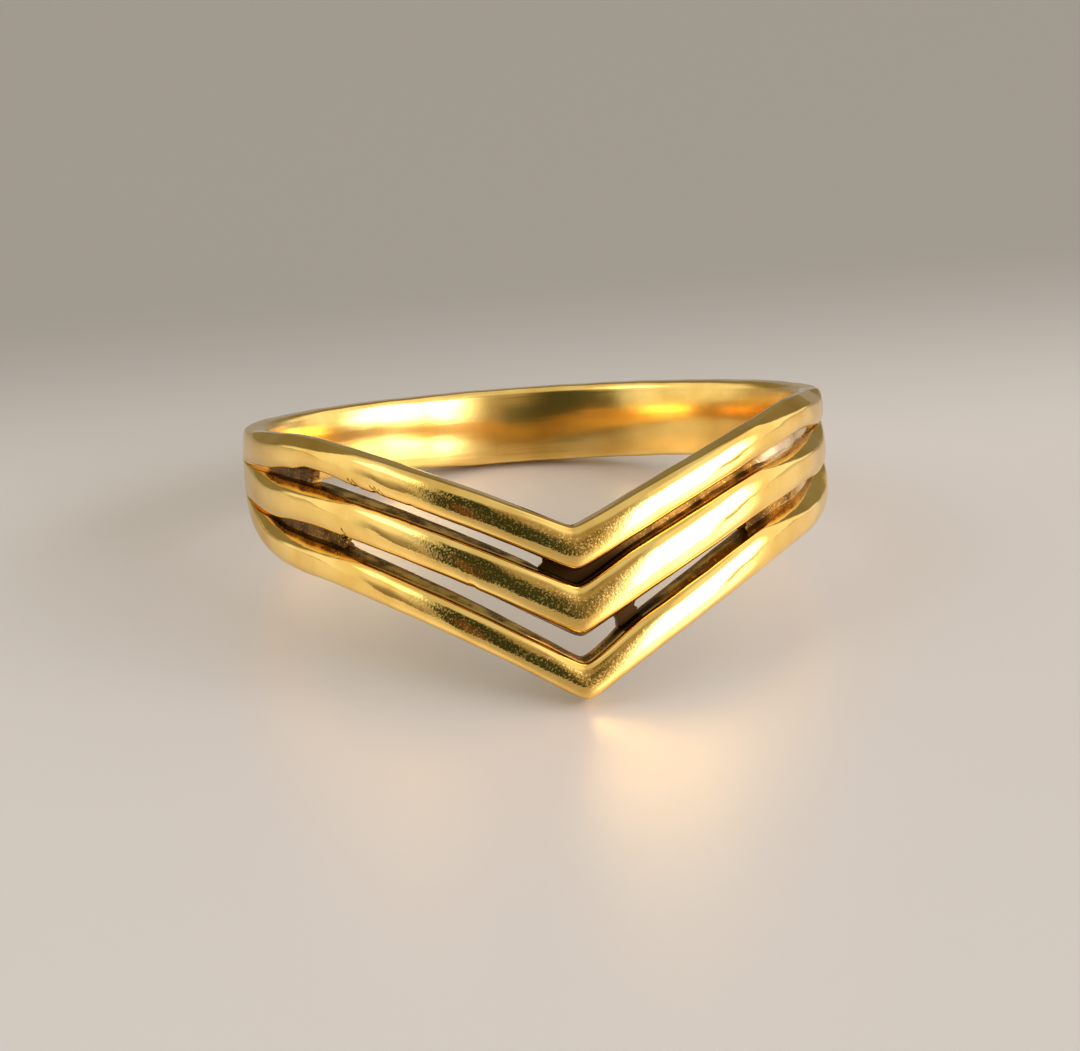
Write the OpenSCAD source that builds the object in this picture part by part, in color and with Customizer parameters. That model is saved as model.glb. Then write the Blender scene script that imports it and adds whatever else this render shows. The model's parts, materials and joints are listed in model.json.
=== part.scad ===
// Chevron ring, cast in one piece of brass. A plain back band widens at the
// shoulders and splits into three half-round bars that meet in a V. The gaps
// between the bars are open for part of their length, and thin webs of
// leftover metal close the rest.
// The ring lies on its side, on the tip of the V and on the lower edge of its
// back band. +Z is up, the V points to -Y, and the origin is on the resting
// plane, under the middle of the ring. Lengths are in millimetres.
// Azimuths are in degrees round the finger, from the tip, to the right (+X).
// Levels are measured along the finger, from the mid-height of the back band.

/* [Finger bore] */
// Diameter of the finger bore
bore_d = 17.3; // [15:0.1:20]
// Rounding of the bore's two rims
rim_round = 0.3; // [0.15:0.05:0.4]
// How much the bore's radius grows below the band, down to the tip of the V
tip_relief = 0.08; // [0.04:0.01:0.12]

/* [Wall] */
// Wall thickness at the middle of the back band
back_t = 1.15; // [1:0.05:1.5]
// Wall thickness on the crowns at the two sides
side_t = 0.92; // [0.85:0.01:1.3]
// Wall thickness on the crowns at the tip
front_t = 1.1; // [0.9:0.05:1.5]
// Wall thickness where each crown begins, at the bar's edges
edge_t = 0.7; // [0.55:0.01:0.75]

/* [Levels at the tip and at the shoulder] */
// Height of the plain back band
back_h = 2.58; // [2.2:0.05:3]
// Level of the ring's upper edge: at the tip, at the shoulder
upper_edge = [-1.82, 1.31]; // [-3:0.01:2]
// Height of the upper bar
upper_bar = [1.36, 0.9]; // [0.7:0.01:1.6]
// Height of the gap below it
upper_gap = [0.49, 0.57]; // [0.4:0.01:1]
// Height of the middle bar
middle_bar = [1.53, 1.12]; // [0.7:0.01:1.6]
// Height of the gap below it
lower_gap = [0.97, 0.61]; // [0.4:0.01:1]
// Height of the lower bar
lower_bar = [1.13, 1.03]; // [0.7:0.01:1.6]

/* [Course of the arms] */
// Azimuth at which the arms level off
arm_end = 65; // [60:1:72]
// How much the arms bow below a straight line
arm_bow = 1.64; // [1.5:0.01:2]
// Turn of the V's mitre to the right, from the upper to the lower edge
mitre_lean = 0.9; // [0:0.1:1.5]
// Azimuths between which the shoulders narrow to the back band
narrowing = [58, 101]; // [56:1:110]
// Azimuths between which the gaps run out into the band
run_out = [76, 91]; // [74:1:94]

/* [Webs in the gaps] */
// Thickness of the webs
web_t = 0.35; // [0.3:0.01:0.4]
// The open stretch of the upper gap, from azimuth to azimuth
upper_open = [-58, -7]; // [-60:1:0]
// The open stretch of the lower gap round the tip
lower_open = [-50, 8]; // [-52:1:9]
// The open stretch of the lower gap up the right arm
right_open = [12, 40]; // [11:1:44]

/* [Hidden] */

bore_r = bore_d / 2;
edge_r = bore_r + edge_t;
web_r = bore_r + web_t;
// The blank reaches a little inside the bore, which is then cut from it
blank_r = bore_r - 0.25;
// Where a gap is open, its floor lies inside the bore too
open_r = bore_r - 0.15;
// The gap's walls draw in by this share of its height, on each side
wall_draft = 0.12;
// Points on each crown, spaced evenly from +90 to -90 degrees
CROWN_ANGLES = [90 : -30 : -90];
// Squareness of the back band's outline: 2 is an ellipse, more is squarer
BAND_POWER = 3;
// Half the azimuth over which a web's end steps down
STEP = 0.4;

// Height of each layer from the top down, at the tip and at the shoulder
layers = [upper_bar, upper_gap, middle_bar, lower_gap, lower_bar];

function mix(a, b, t) = a + (b - a) * t;
function clamp01(t) = min(1, max(0, t));
function ease(t) = t * t * (3 - 2 * t);
function ease_between(span, x) = ease(clamp01((x - span[0]) / (span[1] - span[0])));

// Sum of the first n layers, at the tip (which = 0) or the shoulder (which = 1)
function layer_sum(n, which) = n == 0 ? 0 : layers[n - 1][which] + layer_sum(n - 1, which);
function edge_level(n, which) = upper_edge[which] - layer_sum(n, which);

// Level of edge n, 0 at the top to 5 at the bottom, at an azimuth
function arm_drop(azimuth) = pow(clamp01(1 - abs(azimuth) / arm_end), arm_bow);
function back_level(n) =
    mix(back_h / 2, -back_h / 2, layer_sum(n, 1) / layer_sum(5, 1));
function level(n, azimuth) = mix(
    mix(edge_level(n, 1), back_level(n), ease_between(narrowing, abs(azimuth))),
    edge_level(n, 0), arm_drop(azimuth));

// Outer radius on the crowns: thinnest at the sides
function crown_r(azimuth) = bore_r + side_t
    + (cos(azimuth) > 0 ? front_t - side_t : back_t - side_t) * pow(cos(azimuth), 2);

// Outer radius of the plain band's rounded outline at a level
function band_r(azimuth, z) =
    let (top = level(0, azimuth), bottom = level(5, azimuth))
    let (reach = abs(2 * z - top - bottom) / (top - bottom))
    mix(edge_r, crown_r(azimuth), pow(clamp01(1 - pow(reach, BAND_POWER)), 1 / BAND_POWER));

// The half-round crown of the bar between edges n and n + 1, as [radius, level]
function crown(n, azimuth) =
    let (top = level(n, azimuth), bottom = level(n + 1, azimuth))
    let (merged = ease_between(run_out, abs(azimuth)))
    [for (a = CROWN_ANGLES)
        let (z = mix(bottom, top, (1 + sin(a)) / 2))
        [mix(mix(edge_r, crown_r(azimuth), cos(a)), band_r(azimuth, z), merged), z]];

// The floor of the gap between edges n and n + 1
function gap_floor(n, azimuth, floor_r) =
    let (top = level(n, azimuth), bottom = level(n + 1, azimuth))
    let (merged = ease_between(run_out, abs(azimuth)))
    [for (share = [wall_draft, 1 - wall_draft])
        let (z = mix(top, bottom, share))
        [mix(floor_r, band_r(azimuth, z), merged), z]];

// Two points of a bore rim: where it leaves the flat side, and at 45 degrees.
// side is +1 at the upper rim and -1 at the lower one.
RIM_MID = 1 - cos(45);
function rim(z, side) = [[bore_r + rim_round, z],
    [bore_r + RIM_MID * rim_round, z - side * RIM_MID * rim_round]];
// The rim's last facet runs on to the blank's inner radius
rim_run = rim_round + (bore_r - blank_r) * (1 - RIM_MID) / RIM_MID;

// One section of the blank, as [radius, level] from the top round the outside
function section(azimuth, upper_floor_r, lower_floor_r) =
    let (top = level(0, azimuth), bottom = level(5, azimuth))
    let (upper_rim = rim(top, 1), lower_rim = rim(bottom, -1))
    concat([upper_rim[0]],
        crown(0, azimuth), gap_floor(1, azimuth, upper_floor_r),
        crown(2, azimuth), gap_floor(3, azimuth, lower_floor_r),
        crown(4, azimuth), lower_rim,
        [[blank_r, bottom + rim_run], [blank_r, top - rim_run]], [upper_rim[1]]);

function inside(span, azimuth) = azimuth > span[0] && azimuth < span[1];
function upper_floor_r(azimuth) = inside(upper_open, azimuth) ? open_r : web_r;
function lower_floor_r(azimuth) =
    inside(lower_open, azimuth) || inside(right_open, azimuth) ? open_r : web_r;

// Stations round the ring: even steps, and a pair at each end of a web
function steps(from, to, count) = [for (i = [0 : count - 1]) mix(from, to, i / count)];
function stretch(from, to, pitch) =
    steps(from + STEP, to - STEP, max(1, round((to - from) / pitch)));
function run(from, to, pitch) = concat(stretch(from, to, pitch), [to - STEP]);
stations = concat(
    steps(-180, -96, 14), steps(-96, upper_open[0] - STEP, 12),
    run(upper_open[0], lower_open[0], 3), run(lower_open[0], upper_open[1], 3),
    steps(upper_open[1] + STEP, 0, 3), steps(0, lower_open[1] - STEP, 3),
    [lower_open[1] - STEP], run(lower_open[1], right_open[0], 3),
    run(right_open[0], right_open[1], 3),
    steps(right_open[1] + STEP, 96, 18), steps(96, 180, 14));

// A section point in the ring's own frame, with the finger along Z. Near the
// tip the mitre's lean turns the lower points a little to the right.
function lean(azimuth, z) = mitre_lean * clamp01(1 - abs(azimuth) / 45)
    * (level(0, azimuth) - z) / (level(0, azimuth) - level(5, azimuth));
function place(p, azimuth) =
    let (a = azimuth + lean(azimuth, p[1])) [p[0] * sin(a), -p[0] * cos(a), p[1]];

sections = [for (a = stations) section(a, upper_floor_r(a), lower_floor_r(a))];
N = len(stations);
M = len(sections[0]);
blank_points = [for (i = [0 : N - 1]) for (p = sections[i]) place(p, stations[i])];
blank_faces = [for (i = [0 : N - 1], j = [0 : M - 1])
    let (a = i * M, b = ((i + 1) % N) * M, k = (j + 1) % M)
    each [[a + j, b + j, b + k], [a + j, b + k, a + k]]];

// Resting pose. The ring tips back until the rim under the tip and the
// outline under the back band are equally low.
tip_foot = [-(bore_r + rim_round), level(5, 0)];
function height(p, tilt) = p[1] * cos(tilt) - p[0] * sin(tilt);
function lowest(points, tilt, best, i = 0) = i == len(points) ? best
    : lowest(points, tilt, height(points[i], tilt) < height(best, tilt) ? points[i] : best, i + 1);
function settle(tilt, rounds) = rounds == 0 ? tilt
    : let (foot = lowest(crown(4, 180), tilt, crown(4, 180)[0]))
      settle(atan2(foot[1] - tip_foot[1], foot[0] - tip_foot[0]), rounds - 1);
rest_tilt = settle(17, 4);
rest_lift = -height(tip_foot, rest_tilt);
// The tipped ring's extent along Y, which the origin halves
reach_y = [for (p = blank_points) p[1] * cos(rest_tilt) + p[2] * sin(rest_tilt)];
rest_shift = -(min(reach_y) + max(reach_y)) / 2;

module blank() {
    polyhedron(points = blank_points, faces = blank_faces, convexity = 10);
}

// The finger bore: a cylinder through the band, which opens a little towards
// the tip, so that the V doesn't pinch the finger
module finger_bore() {
    low = level(5, 0) - 1;
    relief_start = -back_h / 2;
    rotate_extrude($fn = 180)
    polygon([[0, low], [bore_r + tip_relief, low], [bore_r, relief_start],
        [bore_r, upper_edge[1] + 1], [0, upper_edge[1] + 1]]);
}

module ring() {
    color("goldenrod")
    translate([0, rest_shift, rest_lift])
    rotate([-rest_tilt, 0, 0])
    difference() {
        blank();
        finger_bore();
    }
}

ring();
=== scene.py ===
import json
import math

import bmesh
import bpy
import numpy as np
from mathutils import Matrix


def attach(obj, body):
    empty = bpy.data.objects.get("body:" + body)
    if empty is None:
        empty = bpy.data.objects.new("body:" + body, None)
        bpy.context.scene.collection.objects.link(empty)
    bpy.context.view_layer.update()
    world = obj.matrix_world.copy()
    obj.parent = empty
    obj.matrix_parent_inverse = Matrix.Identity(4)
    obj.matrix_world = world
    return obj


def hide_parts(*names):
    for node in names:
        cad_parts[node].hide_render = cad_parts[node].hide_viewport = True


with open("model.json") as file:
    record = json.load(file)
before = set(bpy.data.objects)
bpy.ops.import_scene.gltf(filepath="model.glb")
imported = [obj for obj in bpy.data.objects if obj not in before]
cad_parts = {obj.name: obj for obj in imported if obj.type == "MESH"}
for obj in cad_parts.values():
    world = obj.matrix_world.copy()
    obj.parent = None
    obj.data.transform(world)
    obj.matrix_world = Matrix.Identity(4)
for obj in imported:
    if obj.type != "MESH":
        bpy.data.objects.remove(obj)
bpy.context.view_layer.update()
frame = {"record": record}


# Casting. Brass, cast in one piece: a plain back band that widens at the
# shoulders and splits into three half-round bars, with webs of flash left in
# the gaps between them. The bars were filed and polished, the gaps were not.
MM = 0.001
# All of it is measured from the finger bore, in millimetres: azimuth round the finger,
# in degrees from the tip of the V, and level along it from the back band's middle.
bore = frame["record"]["mounts"][0]
BORE_R = bore["dims"]["r_mm"]
BORE_AT = np.array(bore["pos_m"]) / MM
LEAN_BACK = math.atan2(bore["axis"][1], bore["axis"][2])
# The six edges of the bars, top to bottom, at the tip and at the shoulders, and the
# azimuths where the arms' bow ends, the band narrows and the gaps run out.
TIP_LEVELS = np.array([-1.79, -3.22, -3.65, -5.25, -6.08, -7.31])
SHOULDER_LEVELS = np.array([1.38, 0.38, -0.16, -1.31, -1.88, -2.94])
BACK_HEIGHT = 2.58
ARM_END = 65
ARM_BOW = 1.64
NARROWING = (58, 101)
RUN_OUT = (76, 91)
GAPS_END = 84
# Radii of the bars' edges, and of their crests in front, at the sides and behind.
EDGE_R = BORE_R + 0.7
FRONT_R, SIDE_R, BACK_R = BORE_R + 1.1, BORE_R + 0.92, BORE_R + 1.15
BAND_POWER = 3


def ease(low, high, x):
    """0 below low, 1 above high, and 3 t^2 - 2 t^3 of the share between."""
    t = np.clip((x - low) / (high - low), 0, 1)
    return t * t * (3 - 2 * t)


def stretch(rise, fall, x):
    """Eased from 0 to 1 over the rise, and back to 0 over the fall: the product of one
    ease and what another leaves of 1."""
    return ease(*rise, x) * (1 - ease(*fall, x))


def levels(azimuth):
    """The six bar edges' levels, top to bottom, one column per azimuth. From shoulder to
    tip each drops by (1 - azimuth / ARM_END) ^ ARM_BOW of its whole drop, and towards
    the back they draw together to share out the band's height."""
    turn = np.abs(azimuth)
    drop = np.clip(1 - turn / ARM_END, 0, 1) ** ARM_BOW
    share = (SHOULDER_LEVELS[0] - SHOULDER_LEVELS) / (SHOULDER_LEVELS[0] - SHOULDER_LEVELS[-1])
    back = (0.5 - share)[:, None] * BACK_HEIGHT
    narrow = ease(*NARROWING, turn)
    side = SHOULDER_LEVELS[:, None] * (1 - narrow) + back * narrow
    return side + (TIP_LEVELS[:, None] - side) * drop


def crown_radius(azimuth):
    """Outer radius: the side's, plus cosine squared of the difference to front or back."""
    c = np.cos(np.radians(azimuth))
    return SIDE_R + np.where(c > 0, FRONT_R - SIDE_R, BACK_R - SIDE_R) * c ** 2


def band_radius(azimuth, z, edges):
    """The plain band's outline: a superellipse between its top and bottom edges."""
    reach = np.abs(2 * z - edges[0] - edges[5]) / (edges[0] - edges[5])
    bulge = np.clip(1 - reach ** BAND_POWER, 0, 1) ** (1 / BAND_POWER)
    return EDGE_R + (crown_radius(azimuth) - EDGE_R) * bulge


# Stations are close together round the front and wider apart round the plain back.
STATION = 0.5
BESIDE_TIP = 0.25
FRONT_REACH = 100
BACK_STATIONS = 50


def stations():
    """Azimuths of the sections: evenly spaced in front and behind, and two extra ones
    beside the tip, where the mitre is tight."""
    front = np.concatenate([np.arange(-FRONT_REACH, FRONT_REACH, STATION),
                            [-BESIDE_TIP, BESIDE_TIP]])
    back = np.linspace(-180, -FRONT_REACH, BACK_STATIONS + 1)[:-1]
    apart = (180 - FRONT_REACH) / BACK_STATIONS
    return np.sort(np.concatenate([front, back, -back - apart]))


AZIMUTH = stations()
FROM_TIP = np.abs(AZIMUTH)
MERGED = ease(*RUN_OUT, FROM_TIP)


def wave(azimuth, seed, counts, size):
    """Hand-finishing unevenness: sines with whole counts of waves to a turn, each with a
    phase drawn from the seed and a height of size over the root of their number."""
    phases = np.random.default_rng(seed).uniform(0, 2 * np.pi, len(counts))
    total = sum(np.sin(np.radians(azimuth) * n + q) for n, q in zip(counts, phases))
    return size * total / math.sqrt(len(counts))


# The two arms are not quite alike: four edges lie higher on the right arm, the upper
# bar's lower edge is higher at the left end of its opening, and so is the band's lower
# edge at the back left. Towards their ends the gaps' upper edges come down to a point.
RIGHT_RAISE = (0, 0.03, 0.15, 0.02, 0.16, 0)
LEFT_RAISE = 0.12
BACK_RAISE = 0.2
GAP_TAPER = 0.26
# Hand work left its marks too: edges and crowns wander by up to a hundredth, and the
# file bit into the lower edges of the upper two bars: azimuth, width, depth.
EDGE_WANDER, CROWN_WANDER = 0.006, 0.003
EDGE_WAVES, CROWN_WAVES = (11, 19, 37), (13, 29, 47)
NICKS = {1: [(-42.6, 0.6, 0.04), (-38.4, 0.7, 0.04), (-31, 0.5, 0.03)],
         3: [(-46.8, 0.6, 0.04), (-20, 0.6, 0.04)]}
wander = [wave(AZIMUTH, n, EDGE_WAVES, EDGE_WANDER) for n in range(6)]
for n, cuts in NICKS.items():
    for at, width, depth in cuts:
        wander[n] = wander[n] + depth * np.exp(-((AZIMUTH - at) / width) ** 2)
for n in range(6):
    wander[n] = wander[n] + RIGHT_RAISE[n] * stretch((1, 12), (38, 62), AZIMUTH)
wander[5] = wander[5] + BACK_RAISE * stretch((-178, -140), (-132, -106), AZIMUTH)
wander[1] = wander[1] + LEFT_RAISE * stretch((-62, -56), (-52, -42), AZIMUTH)
for n in (1, 3):
    wander[n] = wander[n] - GAP_TAPER * stretch((56, 80), (GAPS_END, 100), FROM_TIP)


def edge_level(n, soft):
    """Edge n's level at each station, with the mitre rounded over soft degrees: the
    azimuth from the tip becomes the root of azimuth squared plus soft squared."""
    return levels(np.hypot(AZIMUTH, soft))[n] + wander[n]


# Degrees that the mitre is rounded over: at the rims, and at the upper edge, the
# middle and the lower edge of each crown.
MITRE_SHARP, MITRE_TOP, MITRE_CROWN, MITRE_BOTTOM = 0.9, 0.8, 1.4, 1.4
EDGES = np.stack([edge_level(n, MITRE_TOP if n % 2 == 0 else MITRE_BOTTOM) for n in range(6)])

# At the shoulders the file took the bars' upper edges down to a facet: its height, how
# much of that is left on the left arm, and how far it comes in for each millimetre up.
FACET_HEIGHT, FACET_LEFT, FACET_SLOPE = 0.33, 0.88, 1.4
FACET = FACET_HEIGHT * stretch((26, 58), (72, 86), FROM_TIP)
FACET = FACET * np.where(AZIMUTH < 0, FACET_LEFT, 1)
UPPER_EDGE_R = np.minimum(EDGE_R, crown_radius(AZIMUTH) - FACET_SLOPE * FACET)

# The rims of the bore are rounded. In the back band its wall is domed: the middle
# stays at the bore's radius, and the rims lie further out by the dome.
RIM, DOME = 0.3, 0.08
RIM_STEPS = 6


def rim_columns(n, side):
    """Bore rim: a quarter of an ellipse from the bore's wall out to the flat side."""
    z = edge_level(n, MITRE_SHARP)
    dome = DOME * MERGED
    columns = []
    for a in np.linspace(0, np.pi / 2, RIM_STEPS + 1):
        r = BORE_R + dome + (RIM - dome) * (1 - math.cos(a))
        columns.append((r, z - side * RIM * (1 - math.sin(a)), 0.0))
    return columns


def side_columns(n):
    """Flat side: two points at a third and two thirds of the way from rim to crown."""
    z = edge_level(n, MITRE_SHARP)
    edge_r = UPPER_EDGE_R if n == 0 else EDGE_R + 0 * AZIMUTH
    return [(BORE_R + RIM + (edge_r - BORE_R - RIM) * t, z + (EDGES[n] - z) * t, 0.0)
            for t in (1 / 3, 2 / 3)]


# A crown's crest lies at this share of the bar's height below the upper edge, with a
# fuller curve above it than below, and its waves slant by some degrees up the bar.
CREST, UPPER_POWER, LOWER_POWER = 0.6, 2.5, 2.2
CROWN_STEPS = 28
CROWN_SEED, WAVE_SLANT = 20, 5
# Brown is left along the lower edge, below this share of the way down from the middle.
EDGE_BROWN, BROWN_FROM = 0.7, 0.92
# Hairline scratches low on the upper two bars, by the azimuth of their lower ends. Up
# the bar each shifts to the left, by one station in every second row. Their width is
# in stations.
SCRATCHES = {0: [-42.0, -41.0, -37.0, -36.0, -35.0], 2: [-44.5]}
SCRATCH_ROWS = range(2, 10)
SCRATCH_BROWN, SCRATCH_WIDTH = 0.9, 0.6


def crown_columns(n):
    """Rounded front of the bar between edges n and n + 1: a superellipse across it,
    merging into the band, with its mitre softest at the middle."""
    columns = []
    crest = 1 - 2 * CREST
    for k, a in enumerate(np.linspace(np.pi / 2, -np.pi / 2, CROWN_STEPS + 1)):
        up = math.sin(a)
        edge_soft = MITRE_TOP if a > 0 else MITRE_BOTTOM
        soft = edge_soft + (MITRE_CROWN - edge_soft) * math.cos(a)
        top, bottom = edge_level(n, soft), edge_level(n + 1, soft)
        z = bottom + (top - bottom) * (1 + up) / 2
        power = UPPER_POWER if up > crest else LOWER_POWER
        away = abs(up - crest) / (1 - crest if up > crest else 1 + crest)
        bulge = max(0.0, 1 - min(1, away) ** power) ** (1 / power)
        bar = EDGE_R + (crown_radius(AZIMUTH) - EDGE_R) * bulge
        r = bar + (band_radius(AZIMUTH, z, EDGES) - bar) * MERGED
        facet = crown_radius(AZIMUTH) - FACET_SLOPE * np.clip(FACET - (top - z), 0, None)
        r = np.where(FACET > top - z, np.minimum(r, facet), r)
        r = r + bulge * wave(AZIMUTH + WAVE_SLANT * up, CROWN_SEED + n, CROWN_WAVES, CROWN_WANDER)
        dull = EDGE_BROWN * max(0.0, (-up - BROWN_FROM) / (1 - BROWN_FROM))
        row = CROWN_STEPS - k
        for at in SCRATCHES.get(n, []):
            off = (AZIMUTH - at) / STATION + row // 2
            dull = dull + SCRATCH_BROWN * np.exp(-(off / SCRATCH_WIDTH) ** 2) * (row in SCRATCH_ROWS)
        columns.append((r, z, dull))
    return columns


# Webs close the gaps, named by their upper edges, except between these azimuths. The
# walls lean in by a share of the gap's height on the way down to the web's floor.
GAPS = {1: [(-58, -7)], 3: [(-50, 8), (12, 40)]}
WEB_R = BORE_R + 0.35
WALL_DRAFT = 0.12
WALL_STEPS, FLOOR_STEPS = 5, 6
# Polish took this share of the brown off the gaps' lower walls: on the right arm, by
# gap, and on the left arm.
RIGHT_POLISH, LEFT_POLISH = {1: 0.42, 3: 0.6}, 0.5
# A blob of solder nearly fills the right end of the upper gap.
FILLED = stretch((42, 50), (54, 66), AZIMUTH)
FILL_SHARE = 0.85


def gap_columns(n):
    """The gap between edges n and n + 1: drafted walls down to the web's floor."""
    top, bottom = EDGES[n], EDGES[n + 1]
    lower_wall = 1 - RIGHT_POLISH[n] * ease(6, 22, AZIMUTH)
    lower_wall = lower_wall - LEFT_POLISH * (1 - ease(-12, -5, AZIMUTH))
    path = [(u, u * WALL_DRAFT, 1, EDGE_R) for u in np.linspace(0, 1, WALL_STEPS + 1)[1:]]
    path += [(1, v, 1, EDGE_R)
             for v in np.linspace(WALL_DRAFT, 1 - WALL_DRAFT, FLOOR_STEPS + 1)[1:-1]]
    path += [(u, 1 - u * WALL_DRAFT, lower_wall, UPPER_EDGE_R)
             for u in np.linspace(1, 0, WALL_STEPS + 1)[:-1]]
    full = FILLED if n == 1 else 0
    columns = []
    for depth, across, dull, edge_r in path:
        z = top + (bottom - top) * across
        r = edge_r + (WEB_R - edge_r) * depth * (1 - FILL_SHARE * full)
        r = r + (band_radius(AZIMUTH, z, EDGES) - r) * MERGED
        columns.append((r, z, dull))
    return columns


# Rows of the bore's wall behind the lower, the middle and the upper bar.
LOWER_STEPS, MIDDLE_STEPS, UPPER_STEPS = 6, 8, 6


def bore_columns():
    """The bore's wall, bottom to top, with the same columns as the gaps' floors: in the
    back band it bellies out towards the finger by DOME, as the square of the height."""
    marks = [edge_level(5, MITRE_SHARP) + RIM]
    for n in (3, 1):
        height = EDGES[n] - EDGES[n + 1]
        marks += [EDGES[n + 1] + WALL_DRAFT * height, EDGES[n] - WALL_DRAFT * height]
    marks.append(edge_level(0, MITRE_SHARP) - RIM)
    counts = (LOWER_STEPS, FLOOR_STEPS, MIDDLE_STEPS, FLOOR_STEPS, UPPER_STEPS)
    columns = []
    for low, high, steps in zip(marks, marks[1:], counts):
        for k in range(steps):
            z = low + (high - low) * k / steps
            reach = (z - (EDGES[0] + EDGES[5]) / 2) / (BACK_HEIGHT / 2 - RIM)
            columns.append((BORE_R + DOME * MERGED * np.clip(reach, -1, 1) ** 2, z, 0.0))
    return columns


# One section of the ring, all the way round it: the columns of each part in turn, with
# the first columns of the gaps' floors outside and inside kept for the openings.
outer = rim_columns(0, 1) + side_columns(0)
gap_start = {}
for n in range(5):
    if n % 2 == 0:
        outer += crown_columns(n)
    else:
        gap_start[n] = len(outer) + WALL_STEPS - 1
        outer += gap_columns(n)
outer += side_columns(5)[::-1] + rim_columns(5, -1)[::-1]
columns = outer + bore_columns()[1:]
inner_at = {3: len(outer) + LOWER_STEPS - 1}
inner_at[1] = inner_at[3] + FLOOR_STEPS + MIDDLE_STEPS
RADIUS = np.stack([c[0] for c in columns], 1)
LEVEL = np.stack([c[1] for c in columns], 1)
brown_left = 1 - ease(74, GAPS_END, FROM_TIP)
DULL = np.stack([c[2] * brown_left for c in columns], 1)
turn = AZIMUTH[:, None]
edges = EDGES[:, :, None]

# The V leans: its lower edges' mitres lie further right, by this many degrees in all.
MITRE_LEAN, LEAN_REACH = 0.6, 45
lean = MITRE_LEAN * np.clip(1 - np.abs(turn) / LEAN_REACH, 0, 1)
lean = lean * (edges[0] - LEVEL) / (edges[0] - edges[5])
# The webs' ragged ends: the stations beside an opening's end are shifted row by row,
# and brown reaches through to the bore's wall there.
RAGGED, RAGGED_REACH = 1.0, 2.6
shift = np.zeros_like(LEVEL)
for n, spans in GAPS.items():
    for end in np.array(spans).flat:
        off = np.random.default_rng(int(abs(end)) + n).uniform(-RAGGED, RAGGED, FLOOR_STEPS + 3)
        off = (off[:-2] + off[1:-1] + off[2:]) / 2
        near = np.clip(1 - np.abs(turn - end) / RAGGED_REACH, 0, 1)
        shift[:, gap_start[n]:gap_start[n] + FLOOR_STEPS + 1] += near * off
        shift[:, inner_at[n]:inner_at[n] + FLOOR_STEPS + 1] += near * off[::-1]
    for low, high in spans:
        near = np.clip(1 - np.maximum(low - turn, turn - high) / RAGGED_REACH, 0, 1)
        DULL[:, inner_at[n]:inner_at[n] + FLOOR_STEPS + 1] += near
angle = np.radians(turn + lean + shift)
ring_points = np.stack([RADIUS * np.sin(angle), -RADIUS * np.cos(angle), LEVEL], -1)

# Faces: a closed grid of stations and columns, without the openings' cells outside and
# inside, and with walls through the metal along the openings' ends and sides.
COUNT, WIDTH = RADIUS.shape
index = np.arange(COUNT * WIDTH).reshape(COUNT, WIDTH)
after = np.roll(index, -1, 0)
quads = np.stack([index, after, np.roll(after, -1, 1), np.roll(index, -1, 1)], -1)
present = np.ones((COUNT, WIDTH), bool)
middle = np.append((AZIMUTH[1:] + AZIMUTH[:-1]) / 2, 180)
walls = []
for n, spans in GAPS.items():
    start = gap_start[n]
    open_cells = np.zeros((COUNT, FLOOR_STEPS), bool)
    for low, high in spans:
        open_cells |= ((middle > low) & (middle < high))[:, None]
    out = index[:, start:start + FLOOR_STEPS + 1]
    ins = index[:, inner_at[n]:inner_at[n] + FLOOR_STEPS + 1][:, ::-1]
    present[:, start:start + FLOOR_STEPS] &= ~open_cells
    present[:, inner_at[n]:inner_at[n] + FLOOR_STEPS] &= ~open_cells[:, ::-1]
    before = np.roll(open_cells, 1, 0)
    i, j = np.nonzero(open_cells != before)
    walls.append(np.stack([out[i, j], out[i, j + 1], ins[i, j + 1], ins[i, j]], -1))
    padded = np.pad(open_cells, ((0, 0), (1, 1)))
    i, j = np.nonzero(padded[:, 1:] != padded[:, :-1])
    k = (i + 1) % COUNT
    walls.append(np.stack([out[i, j], out[k, j], ins[k, j], ins[i, j]], -1))
faces = np.concatenate([quads[present]] + walls)


def from_ring(points):
    """Ring millimetres, finger along Z, to row metres: turned back about X by the lean
    and moved to the bore's place."""
    c, s = math.cos(LEAN_BACK), math.sin(LEAN_BACK)
    x, y, z = points[..., 0], points[..., 1], points[..., 2]
    turned = np.stack([x, y * c + z * s, z * c - y * s], -1)
    return (turned + BORE_AT) * MM


mesh = bpy.data.meshes.new("ring_casting")
mesh.from_pydata(from_ring(ring_points).reshape(-1, 3).tolist(), [], faces.tolist())

# Painted shade darkens the deep floors of the upper gap from the tip up the right arm,
# of the lower gap's bridge and of the closed ends. Solder, and pale dust like it, lie at
# the right shoulder.
LEVEL_SLACK = 0.02
upper_gap = (LEVEL < edges[1] + LEVEL_SLACK) & (LEVEL > edges[2] - LEVEL_SLACK)
lower_gap = (LEVEL < edges[3] + LEVEL_SLACK) & (LEVEL > edges[4] - LEVEL_SLACK)
either_gap = upper_gap | lower_gap
off_bore = RADIUS > BORE_R + 0.2
deep = off_bore & (RADIUS < EDGE_R - 0.1)
gap_shade = upper_gap * stretch((-12, -8), (38, 46), turn) * (1 - 0.75 * ease(6, 20, turn))
gap_shade = gap_shade + lower_gap * stretch((4, 7), (14, 19), turn)
gap_shade = gap_shade + 0.7 * lower_gap * stretch((35, 39), (44, 50), turn)
gap_shade = gap_shade + 0.55 * either_gap * stretch((-80, -70), (-52, -47), turn)
solder = 0.6 * upper_gap * FILLED[:, None]
solder = solder + 0.6 * either_gap * stretch((60, 66), (74, 80), turn)
solder = np.minimum(solder, 0.8)
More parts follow.
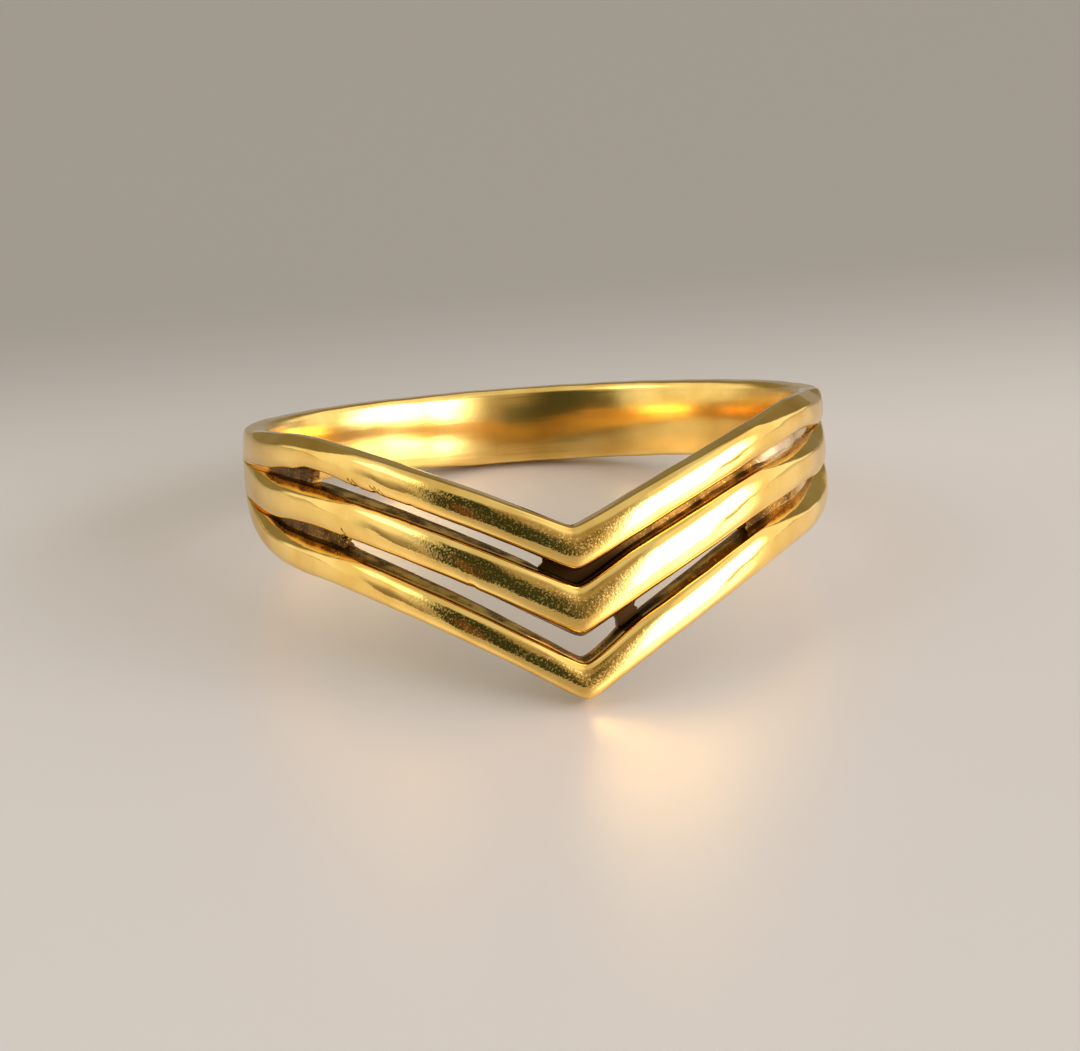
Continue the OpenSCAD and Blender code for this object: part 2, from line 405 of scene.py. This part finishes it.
# Share of each bar's height below its upper edge: the flanks below a crease are satin
# towards the shoulders, and the middles of the crowns are frosted near the tip. The
# back band and the bore are satin all over.
below = np.zeros_like(LEVEL)
for n in (0, 2, 4):
    inside = (LEVEL <= edges[n]) & (LEVEL >= edges[n + 1])
    below = np.where(inside, (edges[n] - LEVEL) / (edges[n] - edges[n + 1]), below)
CREASE, CREASE_RISE = 0.45, 26
crease = CREASE * np.clip((GAPS_END - np.abs(turn)) / CREASE_RISE, 0, 1)
satin = ease(34, 48, np.abs(turn)) * ease(crease - 0.03, crease + 0.06, below)
satin = np.where((np.abs(turn) > GAPS_END) | (RADIUS < BORE_R + 0.15), 1, satin)
frost = stretch((0.14, 0.27), (0.74, 0.86), below) * (RADIUS > EDGE_R + 0.05)
frost = frost * stretch((-36, -27), (12, 20), turn)
# One of these layers is painted shade for the deep floors of the gaps.
for name, values in (("dull", DULL), ("gap_shade", gap_shade * deep), ("fill", solder * off_bore),
                     ("satin", satin), ("frost", frost)):
    layer = mesh.attributes.new(name, "FLOAT", "POINT")
    layer.data.foreach_set("value", values.reshape(-1).astype(np.float32))
# The polishing strokes follow the upper edge, so their place is levelled by it.
lay_points = np.stack([ring_points[..., 0], ring_points[..., 1], LEVEL - edges[0]], -1)
lay = mesh.attributes.new("lay", "FLOAT_VECTOR", "POINT")
lay.data.foreach_set("vector", lay_points.reshape(-1).astype(np.float32))

SHARP_FROM = 64
work = bmesh.new()
work.from_mesh(mesh)
bmesh.ops.delete(work, geom=[v for v in work.verts if not v.link_faces], context="VERTS")
bmesh.ops.recalc_face_normals(work, faces=work.faces)
work.to_mesh(mesh)
work.free()
mesh.shade_smooth()
mesh.set_sharp_from_angle(angle=math.radians(SHARP_FROM))
casting = bpy.data.objects.new("ring_casting", mesh)
bpy.context.scene.collection.objects.link(casting)

# Polished brass: a pale yellow metal, buffed over casting grain, so that dark
# reflections are broken by fine flecks. Satin at the shoulders and brown where no polish
# reached; the gaps' deep floors carry painted shade, near black. The grain is drawn
# coarser than it is, so that it shows.
POLISHED, WORN = "#f3cd76", "#dcb056"
# Of these, the near-black one is no colour of the metal but painted shade for the gaps.
TARNISH, DEEP_TARNISH, GAP_SHADE, SOLDER = "#a5793c", "#6a481f", "#38240f", "#d6c4a2"
ROUGH_POLISHED, ROUGH_FLECK, ROUGH_SATIN, ROUGH_TARNISH = 0.04, 0.28, 0.19, 0.5
# Millimetres across each pattern and deep in its bumps, and the polishing strokes to a
# millimetre along the ring and up it.
PEEL, GRAIN, RIPPLE, PATCH = 0.075, 0.065, 0.7, 1.6
PEEL_DEPTH, STROKE_DEPTH, RIPPLE_DEPTH = 0.0045, 0.002, 0.0025
STROKES_ALONG, STROKES_UP = 0.5, 6.0


def linear(code):
    """sRGB hex to linear RGBA, by the sRGB curve."""
    srgb = np.array([int(code[i:i + 2], 16) for i in (1, 3, 5)]) / 255
    rgb = np.where(srgb <= 0.04045, srgb / 12.92, ((srgb + 0.055) / 1.055) ** 2.4)
    return (*rgb.tolist(), 1.0)


def add_node(tree, kind, inputs=None, **settings):
    """A node with its settings, its inputs set to values or linked from sockets."""
    node = tree.nodes.new(kind)
    for name, value in settings.items():
        setattr(node, name, value)
    for name, value in (inputs or {}).items():
        socket = node.inputs[name]
        if isinstance(value, bpy.types.NodeSocket):
            tree.links.new(value, socket)
        else:
            socket.default_value = value
    return node


brass = bpy.data.materials.new("polished_cast_brass")
brass.use_nodes = True
tree = brass.node_tree
tree.nodes.clear()
place = add_node(tree, "ShaderNodeTexCoord").outputs["Object"]
masks = {}
for name in ("dull", "gap_shade", "fill", "satin", "frost"):
    masks[name] = add_node(tree, "ShaderNodeAttribute", attribute_name=name).outputs["Fac"]
lay_of = add_node(tree, "ShaderNodeAttribute", attribute_name="lay").outputs["Vector"]
peel = add_node(tree, "ShaderNodeTexNoise", {
    "Vector": place, "Scale": 1 / (PEEL * MM), "Detail": 1.5}).outputs["Fac"]
grain = add_node(tree, "ShaderNodeTexNoise", {
    "Vector": place, "Scale": 1 / (GRAIN * MM), "Detail": 1.0}).outputs["Fac"]
ripple = add_node(tree, "ShaderNodeTexNoise", {
    "Vector": place, "Scale": 1 / (RIPPLE * MM), "Detail": 2.0}).outputs["Fac"]
patch = add_node(tree, "ShaderNodeTexNoise", {
    "Vector": place, "Scale": 1 / (PATCH * MM), "Detail": 3.0}).outputs["Fac"]
drawn_out = add_node(tree, "ShaderNodeMapping", {
    "Vector": lay_of, "Scale": (STROKES_ALONG, STROKES_ALONG, STROKES_UP)}).outputs[0]
strokes = add_node(tree, "ShaderNodeTexNoise", {
    "Vector": drawn_out, "Scale": 1.0, "Detail": 2.0}).outputs["Fac"]

# Flecks stand out on the frosted crowns, and the brown has a ragged border.
fleck = add_node(tree, "ShaderNodeMapRange", {
    "Value": grain, "From Min": 0.54, "From Max": 0.62},
    interpolation_type="SMOOTHSTEP").outputs[0]
frosted = add_node(tree, "ShaderNodeMapRange", {
    "Value": masks["frost"], "To Min": 0.12, "To Max": 1.0}).outputs[0]
fleck = add_node(tree, "ShaderNodeMath", {0: fleck, 1: frosted}, operation="MULTIPLY").outputs[0]
ragged = add_node(tree, "ShaderNodeMath", {
    0: ripple, 1: 0.9, 2: -0.45}, operation="MULTIPLY_ADD").outputs[0]
brown_edge = add_node(tree, "ShaderNodeMath", {
    0: masks["dull"], 1: ragged}, operation="ADD").outputs[0]
brown = add_node(tree, "ShaderNodeMapRange", {
    "Value": brown_edge, "From Min": 0.3, "From Max": 0.7},
    interpolation_type="SMOOTHSTEP").outputs[0]

worn = add_node(tree, "ShaderNodeMapRange", {
    "Value": patch, "From Min": 0.35, "From Max": 0.75}).outputs[0]
bright = add_node(tree, "ShaderNodeMix", {
    0: worn, 6: linear(POLISHED), 7: linear(WORN)}, data_type="RGBA").outputs[2]
spots = add_node(tree, "ShaderNodeMapRange", {
    "Value": ripple, "From Min": 0.4, "From Max": 0.6}).outputs[0]
tarnish = add_node(tree, "ShaderNodeMix", {
    0: spots, 6: linear(TARNISH), 7: linear(DEEP_TARNISH)}, data_type="RGBA").outputs[2]
glints = add_node(tree, "ShaderNodeMapRange", {
    "Value": peel, "From Min": 0.6, "From Max": 0.66}).outputs[0]
tarnish = add_node(tree, "ShaderNodeMix", {
    0: glints, 6: tarnish, 7: linear(WORN)}, data_type="RGBA").outputs[2]
colour = add_node(tree, "ShaderNodeMix", {
    0: brown, 6: bright, 7: tarnish}, data_type="RGBA").outputs[2]
colour = add_node(tree, "ShaderNodeMix", {
    0: masks["fill"], 6: colour, 7: linear(SOLDER)}, data_type="RGBA").outputs[2]
# Painted shade: the deep floors of the gaps are darkened towards near black.
colour = add_node(tree, "ShaderNodeMix", {
    0: masks["gap_shade"], 6: colour, 7: linear(GAP_SHADE)}, data_type="RGBA").outputs[2]
rough = add_node(tree, "ShaderNodeMix", {
    0: fleck, 2: ROUGH_POLISHED, 3: ROUGH_FLECK}).outputs[0]
rough = add_node(tree, "ShaderNodeMix", {
    0: masks["satin"], 2: rough, 3: ROUGH_SATIN}).outputs[0]
rough = add_node(tree, "ShaderNodeMix", {0: brown, 2: rough, 3: ROUGH_TARNISH}).outputs[0]
bump = add_node(tree, "ShaderNodeBump", {
    "Height": peel, "Strength": frosted, "Distance": PEEL_DEPTH * MM}).outputs[0]
bump = add_node(tree, "ShaderNodeBump", {
    "Height": strokes, "Strength": 1.0, "Distance": STROKE_DEPTH * MM, "Normal": bump}).outputs[0]
bump = add_node(tree, "ShaderNodeBump", {
    "Height": ripple, "Strength": 1.0, "Distance": RIPPLE_DEPTH * MM, "Normal": bump}).outputs[0]
shader = add_node(tree, "ShaderNodeBsdfPrincipled", {
    "Base Color": colour, "Metallic": 1.0, "Roughness": rough, "Normal": bump})
add_node(tree, "ShaderNodeOutputMaterial", {"Surface": shader.outputs["BSDF"]})
mesh.materials.append(brass)

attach(casting, "root")
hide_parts("ring")


# Studio floor. A plain pale floor of satin card for the ring to rest on, with painted
# shade on it: a little darker from just behind the ring onwards, standing in for the
# shadow of a roll that is left out.
FLOOR_REACH = 0.6
FLOOR_COLOUR, FLOOR_SHADE_BEHIND = "#e5ddd8", "#b0aaa4"
DARKENS_FROM, DARKENS_TO = 7, 28
floor_mesh = bpy.data.meshes.new("floor")
corners = [(-1, -1), (1, -1), (1, 1), (-1, 1)]
floor_mesh.from_pydata([(x * FLOOR_REACH, y * FLOOR_REACH, 0) for x, y in corners], [],
                       [(0, 1, 2, 3)])
floor = bpy.data.objects.new("floor", floor_mesh)
bpy.context.scene.collection.objects.link(floor)
card = bpy.data.materials.new("pale_satin_card")
card.use_nodes = True
tree = card.node_tree
tree.nodes.clear()
place = add_node(tree, "ShaderNodeTexCoord").outputs["Object"]
along = add_node(tree, "ShaderNodeSeparateXYZ", {"Vector": place}).outputs["Y"]
# Painted shade: the card's colour turns darker towards the back.
behind = add_node(tree, "ShaderNodeMapRange", {
    "Value": along, "From Min": DARKENS_FROM * MM, "From Max": DARKENS_TO * MM},
    interpolation_type="SMOOTHSTEP").outputs[0]
colour = add_node(tree, "ShaderNodeMix", {
    0: behind, 6: linear(FLOOR_COLOUR), 7: linear(FLOOR_SHADE_BEHIND)}, data_type="RGBA").outputs[2]
shader = add_node(tree, "ShaderNodeBsdfPrincipled", {
    "Base Color": colour, "Metallic": 0.45, "Roughness": 0.38})
add_node(tree, "ShaderNodeOutputMaterial", {"Surface": shader.outputs["BSDF"]})
floor_mesh.materials.append(card)


# Studio light. A plain pale room with a window to the right in front, a lamp high on
# the left, dark flags and a brown card between them, and dim warm shade low down and
# behind. Angles are degrees of azimuth, from the front, and of elevation.
world = bpy.data.worlds.new("studio")
world.use_nodes = True
tree = world.node_tree
tree.nodes.clear()
looking = add_node(tree, "ShaderNodeTexCoord").outputs["Generated"]
split = add_node(tree, "ShaderNodeSeparateXYZ", {"Vector": looking})
front = add_node(tree, "ShaderNodeMath", {
    0: split.outputs["Y"], 1: -1.0}, operation="MULTIPLY").outputs[0]
azimuth = add_node(tree, "ShaderNodeMath", {
    0: split.outputs["X"], 1: front}, operation="ARCTAN2").outputs[0]
elevation = add_node(tree, "ShaderNodeMath", {
    0: split.outputs["Z"]}, operation="ARCSINE").outputs[0]
AROUND, RAISED = [
    add_node(tree, "ShaderNodeMath", {0: radians, 1: 1 / (2 * math.pi), 2: 0.5},
             operation="MULTIPLY_ADD").outputs[0] for radians in (azimuth, elevation)]


def panel(under, colour, across, up):
    """A soft panel of light or shade over what is under it: its share is the product of
    two ramps, each eased between stops of degrees and share, one across in azimuth and
    one up in elevation."""
    shares = []
    for turns, stops in ((AROUND, across), (RAISED, up)):
        falloff = add_node(tree, "ShaderNodeValToRGB", {0: turns})
        ramp = falloff.color_ramp
        ramp.interpolation = "EASE"
        while len(ramp.elements) < len(stops):
            ramp.elements.new(0.5)
        for element, (degrees, share) in zip(ramp.elements, stops):
            element.position = degrees / 360 + 0.5
            element.color = (share, share, share, 1)
        shares.append(falloff.outputs[0])
    share = add_node(tree, "ShaderNodeMath", {
        0: shares[0], 1: shares[1]}, operation="MULTIPLY").outputs[0]
    return add_node(tree, "ShaderNodeMix", {
        0: share, 6: under, 7: (*colour, 1.0)}, data_type="RGBA").outputs[2]


ROOM, LEFT_WALL, RIGHT_WALL = (0.80, 0.80, 0.79), (1.15, 1.13, 1.07), (1.30, 1.28, 1.24)
BACK_SHADE, LEFT_SHADE, FRONT_SHADE = (0.28, 0.25, 0.15), (0.32, 0.27, 0.20), (0.46, 0.38, 0.27)
LAMP, WINDOW = (2.90, 2.88, 2.80), (7.50, 7.50, 8.20)
FLAG, TALL_FLAG, BROWN_CARD = (0.056, 0.063, 0.034), (0.047, 0.055, 0.029), (0.22, 0.10, 0.05)
light = (*ROOM, 1.0)
for colour, across, up in (
        (LEFT_WALL, ((-134, 0), (-122, 1), (-64, 1), (-52, 0)),
         ((-12, 0), (4, 1), (58, 1), (76, 0))),
        (BACK_SHADE, ((-146, 1), (-134, 0), (128, 0), (142, 1)), ((42, 1), (58, 0))),
        (BACK_SHADE, ((-138, 1), (-124, 0)), ((6, 1), (20, 0))),
        (LAMP, ((-94, 0), (-84, 1), (-58, 1), (-50, 0)), ((26, 0), (38, 1), (50, 1), (58, 0))),
        (LEFT_SHADE, ((-86, 0), (-72, 1), (-56, 1), (-48, 0)), ((2, 1), (18, 0))),
        (RIGHT_WALL, ((80, 0), (88, 1), (128, 1), (142, 0)), ((58, 1), (74, 0))),
        (RIGHT_WALL, ((24, 0), (38, 1), (84, 1), (94, 0)),
         ((30, 0), (42, 1), (58, 1), (74, 0))),
        (FRONT_SHADE, ((-30, 0), (-14, 1), (15, 1), (27, 0)), ((46, 1), (62, 0))),
        (WINDOW, ((13, 0), (19, 0.05), (25, 0.12), (28, 0.3), (31, 1), (62, 1), (70, 0)),
         ((-5, 0), (2, 1), (33, 1), (40, 0))),
        (WINDOW, ((60, 0), (66, 1), (78, 1), (92, 0)), ((1, 0), (8, 1), (31, 1), (40, 0))),
        (FLAG, ((-54, 0), (-46, 1), (0, 1), (17, 0)), ((23, 1), (34, 0))),
        (TALL_FLAG, ((-46, 0), (-38, 1), (-16, 1), (-2, 0)), ((44, 1), (56, 0))),
        (BROWN_CARD, ((-40, 0), (-37, 1), (-34, 1), (-31, 0)),
         ((-2, 0), (6, 1), (16, 1), (24, 0)))):
    light = panel(light, colour, across, up)
background = add_node(tree, "ShaderNodeBackground", {"Color": light})
add_node(tree, "ShaderNodeOutputWorld", {"Surface": background.outputs[0]})
bpy.context.scene.world = world
bpy.context.scene.view_settings.view_transform = "Standard"


# Camera. At the photograph's angle, in front of the V and above the floor, with its
# distance and offset in millimetres from the bore's middle, and its lens in pixels.
IMAGE_WIDTH, FOCAL_PIXELS = 1080, 4549.55
SENSOR_WIDTH = 36
CAMERA_DISTANCE = 150
CAMERA_RISE = math.radians(24.046)
CAMERA_TURN = math.radians(6.988)
CAMERA_ROLL = math.radians(1.774)
OFFSET_RIGHT, OFFSET_UP = -0.119, 2.604
forward = np.array([math.sin(CAMERA_TURN) * math.cos(CAMERA_RISE),
                    math.cos(CAMERA_TURN) * math.cos(CAMERA_RISE), -math.sin(CAMERA_RISE)])
level_right = np.array([math.cos(CAMERA_TURN), -math.sin(CAMERA_TURN), 0])
level_up = np.cross(level_right, forward)
camera_at = BORE_AT - forward * CAMERA_DISTANCE - level_right * OFFSET_RIGHT - level_up * OFFSET_UP
roll_c, roll_s = math.cos(CAMERA_ROLL), math.sin(CAMERA_ROLL)
camera_matrix = np.eye(4)
camera_matrix[:3, 0] = level_right * roll_c - level_up * roll_s
camera_matrix[:3, 1] = level_right * roll_s + level_up * roll_c
camera_matrix[:3, 2] = -forward
camera_matrix[:3, 3] = camera_at * MM
camera_data = bpy.data.cameras.new("camera")
camera_data.sensor_width = SENSOR_WIDTH
camera_data.lens = FOCAL_PIXELS / IMAGE_WIDTH * SENSOR_WIDTH
camera_data.clip_start = 0.01
camera = bpy.data.objects.new("camera", camera_data)
camera.matrix_world = Matrix(camera_matrix.tolist())
bpy.context.scene.collection.objects.link(camera)
bpy.context.scene.camera = camera
